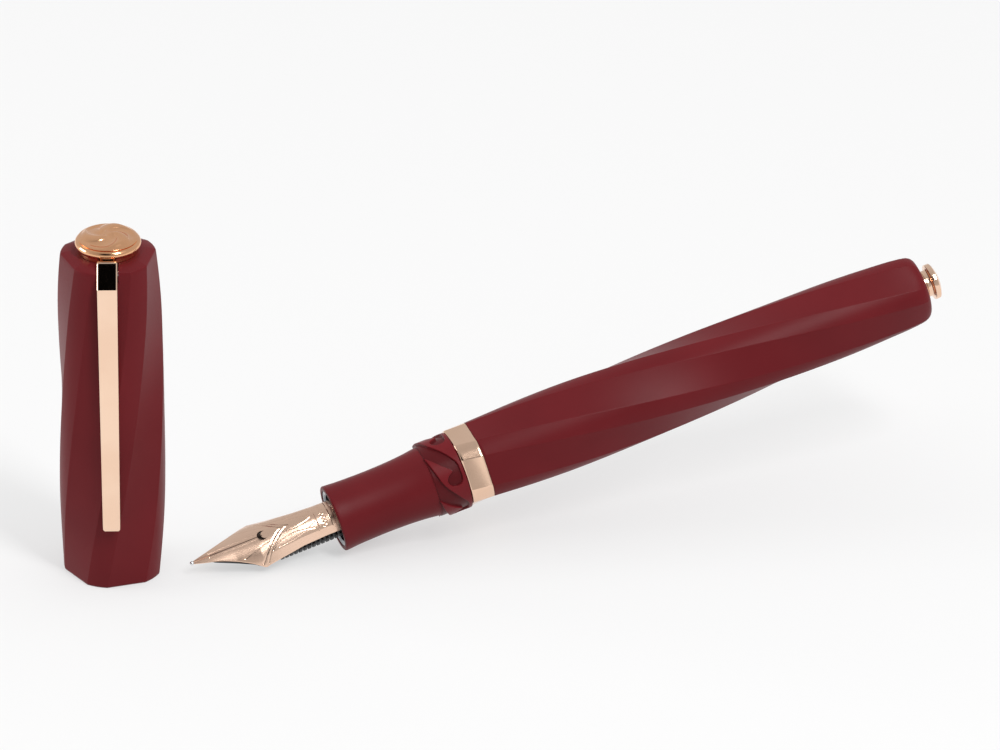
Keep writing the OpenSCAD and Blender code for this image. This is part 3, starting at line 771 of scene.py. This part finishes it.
def build_bezel():
    z = CAP_H
    profile = [(1.0, z + 0.02), (4.73, z + 0.02), (4.79, z + 0.07), (4.8, z + 0.3), (4.8, z + 0.58)]
    profile += arc(BEZEL_R - BEAD_R, BEAD_Z, BEAD_R - 0.005, -64, 92, 28)
    profile += [(4.48, z + 2.1), (4.47, z + 1.9), (4.47, z + 1.31), (2.2, z + 1.31), (2.2, z + 0.72),
                (1.0, z + 0.72)]
    obj = lathe("finial_rim", profile, CAP, M["bezel_gold"], 160)
    half = NECK_W / 2 + 0.2
    notch = prism("notch_cutter", [(4.2, -half), (6.2, -half), (6.2, half), (4.2, half)], z - 0.5,
                  z + 1.0, CAP, M["bezel_gold"])
    cut(obj, notch)
    finish_mesh(obj, 30)
    settle(obj, "cap", "rose_gold", "finial_bezel")


MEDAL_R = 4.76
SEAT_R = 4.44
PETALS = 3


def medallion_height(radius, angle):
    """Full dome with three swirling petals in bold relief."""
    dome = 0.71 * (1 - min(radius / MEDAL_R, 1.0) ** 2.5) ** 0.75
    swirl = math.radians(angle) * PETALS + radius * 1.2
    ridge = math.cos(swirl)
    reach = ease(np.array((radius - 0.35) / 1.2)) * ease(np.array((4.45 - radius) / 0.9))
    petal = 0.30 * float(reach) * (abs(ridge) ** 0.7 * (1 if ridge > 0 else -1))
    heart = 0.16 * float(ease(np.array((1.0 - radius) / 0.6)))
    return dome + petal + heart


def build_medallion():
    rim_z = 58.86
    around, steps = 240, 72
    turn = np.radians(np.arange(around) * 360.0 / around)
    rings = [circle(SEAT_R - 0.1, 57.95, around), circle(SEAT_R, 58.05, around),
             circle(SEAT_R, 58.70, around), circle(SEAT_R + 0.1, 58.77, around),
             circle(MEDAL_R - 0.05, 58.78, around)]
    for i in range(steps + 1):
        radius = (MEDAL_R - 0.004) * math.sin(math.pi / 2 * (1 - i / steps)) + 0.003
        height = [rim_z + medallion_height(radius, math.degrees(t)) for t in turn]
        rings.append(np.stack([radius * np.cos(turn), radius * np.sin(turn), height], 1))
    obj = stack("finial_rosette", rings, CAP, M["bezel_gold"], False, True, sharp_deg=60)
    settle(obj, "medallion", "rose_gold", "finial_medallion")


CLIP_LOW = 11.3
CREASE_X, CREASE_Z = 9.0, 54.1
LEG_LOW_X = 9.85
CLIP_T = 0.85
TAB_X, TAB_TOP = 5.55, 57.6
PIVOT_X = 5.7


def line(start, end, steps):
    """Points along a straight line, without its start."""
    return [(start[0] + (end[0] - start[0]) * k / steps, start[1] + (end[1] - start[1]) * k / steps)
            for k in range(1, steps + 1)]


def build_clip():
    """Bar with bevelled long edges, bent over at the top and rounded at its free end."""
    low, crease_z, crease_x, low_x, thick = CLIP_LOW, CREASE_Z, CREASE_X, LEG_LOW_X, CLIP_T
    outer = [(2.7, 56.4), (TAB_X - 0.25, 56.4), (TAB_X - 0.05, 56.43), (TAB_X, 56.5)]
    outer += arc(TAB_X + 0.3, TAB_TOP - 0.3, 0.3, 180, 90, 7)
    outer += arc(TAB_X + 0.68, TAB_TOP - 0.3, 0.3, 90, 36.6, 6)
    outer += line(outer[-1], (crease_x, crease_z), 12)
    outer += line((crease_x, crease_z), (low_x, low + 0.35), 44)
    outer += [(low_x - 0.05, low + 0.15), (low_x - 0.18, low + 0.03), (low_x - 0.3, low)]
    inner = [(2.7, 54.95), (PIVOT_X - 0.7, 54.93), (PIVOT_X - 0.66, 54.72), (PIVOT_X - 0.5, 54.62)]
    inner += line((PIVOT_X - 0.5, 54.62), (PIVOT_X + 0.5, 54.6), 7)
    inner += line((PIVOT_X + 0.5, 54.6), (PIVOT_X + 0.7, 56.1), 6)
    inner += line((PIVOT_X + 0.7, 56.1), (crease_x - thick, crease_z - 0.4), 12)
    inner += line((crease_x - thick, crease_z - 0.4), (low_x - thick, low + 0.4), 44)
    inner += [(low_x - thick + 0.05, low + 0.18), (low_x - thick + 0.17, low + 0.06),
              (low_x - thick + 0.3, low)]
    rings = []
    tangents = np.gradient(np.array(outer), axis=0)
    for (ox, oz), (ix, iz), (tx, tz) in zip(outer, inner, tangents):
        half = CLIP_W / 2
        if oz < crease_z:
            half -= 0.22 * (crease_z - oz) / (crease_z - low)
        if oz < low + 0.5:
            half -= 0.25 * (1 - (oz - low) / 0.5) ** 2
        dx, dz = ix - ox, iz - oz
        length = math.hypot(dx, dz)
        dx, dz = dx / length, dz / length
        nx, nz = unit(np.array((-tz, tx)))
        if nx * dx + nz * dz < 0:
            nx, nz = -nx, -nz
        edge, bevel_in = 0.20, 0.10
        section = [(ox + nx * depth, y, oz + nz * depth) for depth, y in (
            (0, -half + edge), (0.06, -half + 0.08), (0.13, -half + 0.02), (edge, -half))]
        section += [(ox + dx * depth, y, oz + dz * depth) for depth, y in (
            (length - bevel_in, -half), (length, -half + bevel_in))]
        mirrored = [(x, -y, z) for x, y, z in reversed(section)]
        rings.append(section + mirrored)
    obj = stack("clip_bar", rings, CAP, M["clip_gold"], False, True, sharp_deg=22)
    nub_rings = []
    for k in range(13):
        tilt = math.radians(-90 + 180 * k / 12)
        ring = circle(max(0.55 * math.cos(tilt), 0.004), 0.55 * math.sin(tilt), 32)
        nub_rings.append(ring + np.array((LEG_LOW_X - CLIP_T + 0.1, 0, CLIP_LOW + 1.6)))
    nub = stack("clip_nub", nub_rings, CAP, M["clip_gold"], False, True)
    half = NECK_W / 2
    neck = prism("clip_neck", [(4.7, -half), (TAB_X + 0.15, -half), (TAB_X + 0.15, half), (4.7, half)],
                 56.32, 57.38, CAP, M["clip_gold"])
    settle(obj, "clip", "rose_gold", "clip")
    settle(nub, "clip", "rose_gold")
    settle(neck, "clip", "rose_gold")


build_barrel()
build_trim_ring()
build_tail()
build_grip()
build_lock_ring()
build_nib()
build_feed_lip()
build_cap()
build_bezel()
build_medallion()
build_clip()


# ---------------------------------------------------------------- stage, light and camera
CAMERA_AZIMUTH = 18.93
CAMERA_ELEVATION = 27.95
CAMERA_DISTANCE = 1.685
CAMERA_LENS = 378.0
CAMERA_TARGET = (-0.00046, 0.00025, 0.02430)


def build_stage():
    size = 6.0
    mesh = bpy.data.meshes.new("floor")
    mesh.from_pydata([(-size, -size, 0), (size, -size, 0), (size, size, 0), (-size, size, 0)], [],
                     [(0, 1, 2, 3)])
    floor = bpy.data.objects.new("floor", mesh)
    bpy.context.scene.collection.objects.link(floor)
    material, _, _, shader = material_base("pale_floor")
    shader.inputs["Base Color"].default_value = (0.33, 0.33, 0.33, 1)
    shader.inputs["Roughness"].default_value = 0.9
    shader.inputs["Specular IOR Level"].default_value = 0.0
    shader.inputs["Emission Color"].default_value = (1, 1, 1, 1)
    shader.inputs["Emission Strength"].default_value = 0.53
    floor.data.materials.append(material)


def area_light(name, place_at, aim, size, power, glossy):
    data = bpy.data.lights.new(name, "AREA")
    data.shape = "RECTANGLE"
    data.size, data.size_y = size
    data.energy = power
    obj = bpy.data.objects.new(name, data)
    obj.location = place_at
    obj.rotation_euler = (Vector(aim) - Vector(place_at)).to_track_quat("-Z", "Y").to_euler()
    obj.visible_glossy = glossy
    bpy.context.scene.collection.objects.link(obj)


def toward(front, right, up):
    """Direction given by its parts towards the viewer, to the viewer's right and upwards."""
    azimuth = math.radians(CAMERA_AZIMUTH)
    ahead = Vector((-math.sin(azimuth), -math.cos(azimuth), 0))
    across = Vector((math.cos(azimuth), -math.sin(azimuth), 0))
    return (ahead * front + across * right + Vector((0, 0, up))).normalized()


def build_world():
    """Pale studio walls with a dark patch where the viewer stands and a window beside it."""
    world = bpy.data.worlds.new("studio")
    world.use_nodes = True
    nodes, links = world.node_tree.nodes, world.node_tree.links
    coords = nodes.new("ShaderNodeTexCoord")
    near = nodes.new("ShaderNodeVectorMath")
    near.operation = "DOT_PRODUCT"
    near.inputs[1].default_value = toward(0.75, -0.08, 0.655)
    links.new(coords.outputs["Generated"], near.inputs[0])
    tone = ramp(nodes, links, near.outputs["Value"],
                [(0.0, (0.62,) * 3), (0.55, (0.56,) * 3), (0.88, (0.46,) * 3), (0.94, (0.34,) * 3),
                 (0.962, (0.0,) * 3), (1.0, (0.0,) * 3)])
    beside = nodes.new("ShaderNodeVectorMath")
    beside.operation = "DOT_PRODUCT"
    beside.inputs[1].default_value = toward(0.42, 0.46, 0.78)
    links.new(coords.outputs["Generated"], beside.inputs[0])
    glow = ramp(nodes, links, beside.outputs["Value"],
                [(0.0, (0.0,) * 3), (0.90, (0.0,) * 3), (0.95, (0.22,) * 3), (1.0, (0.25,) * 3)])
    total = nodes.new("ShaderNodeVectorMath")
    total.operation = "ADD"
    links.new(tone, total.inputs[0])
    links.new(glow, total.inputs[1])
    links.new(total.outputs["Vector"], nodes["Background"].inputs["Color"])
    nodes["Background"].inputs["Strength"].default_value = 1.0
    bpy.context.scene.world = world


def build_light():
    build_world()
    aim = Vector((0, 0, 0.02))
    area_light("overhead", (0.05, 0.15, 1.00), aim, (1.7, 1.4), 5.5, False)
    area_light("right_strip", aim + toward(0.50, 0.36, 0.79) * 1.0, aim, (0.20, 0.50), 5.5, True)
    area_light("left_strip", aim + toward(-0.05, -1.0, 0.24) * 0.8, aim, (0.35, 0.30), 2.4, True)
    bpy.context.scene.view_settings.view_transform = "Standard"


def build_camera():
    azimuth, elevation = math.radians(CAMERA_AZIMUTH), math.radians(CAMERA_ELEVATION)
    forward = Vector((math.sin(azimuth) * math.cos(elevation), math.cos(azimuth) * math.cos(elevation),
                      -math.sin(elevation)))
    data = bpy.data.cameras.new("camera")
    data.lens = CAMERA_LENS
    data.clip_start, data.clip_end = 0.01, 20
    camera = bpy.data.objects.new("camera", data)
    camera.location = Vector(CAMERA_TARGET) - forward * CAMERA_DISTANCE
    camera.rotation_euler = forward.to_track_quat("-Z", "Y").to_euler()
    bpy.context.scene.collection.objects.link(camera)
    bpy.context.scene.camera = camera


build_stage()
build_light()
build_camera()
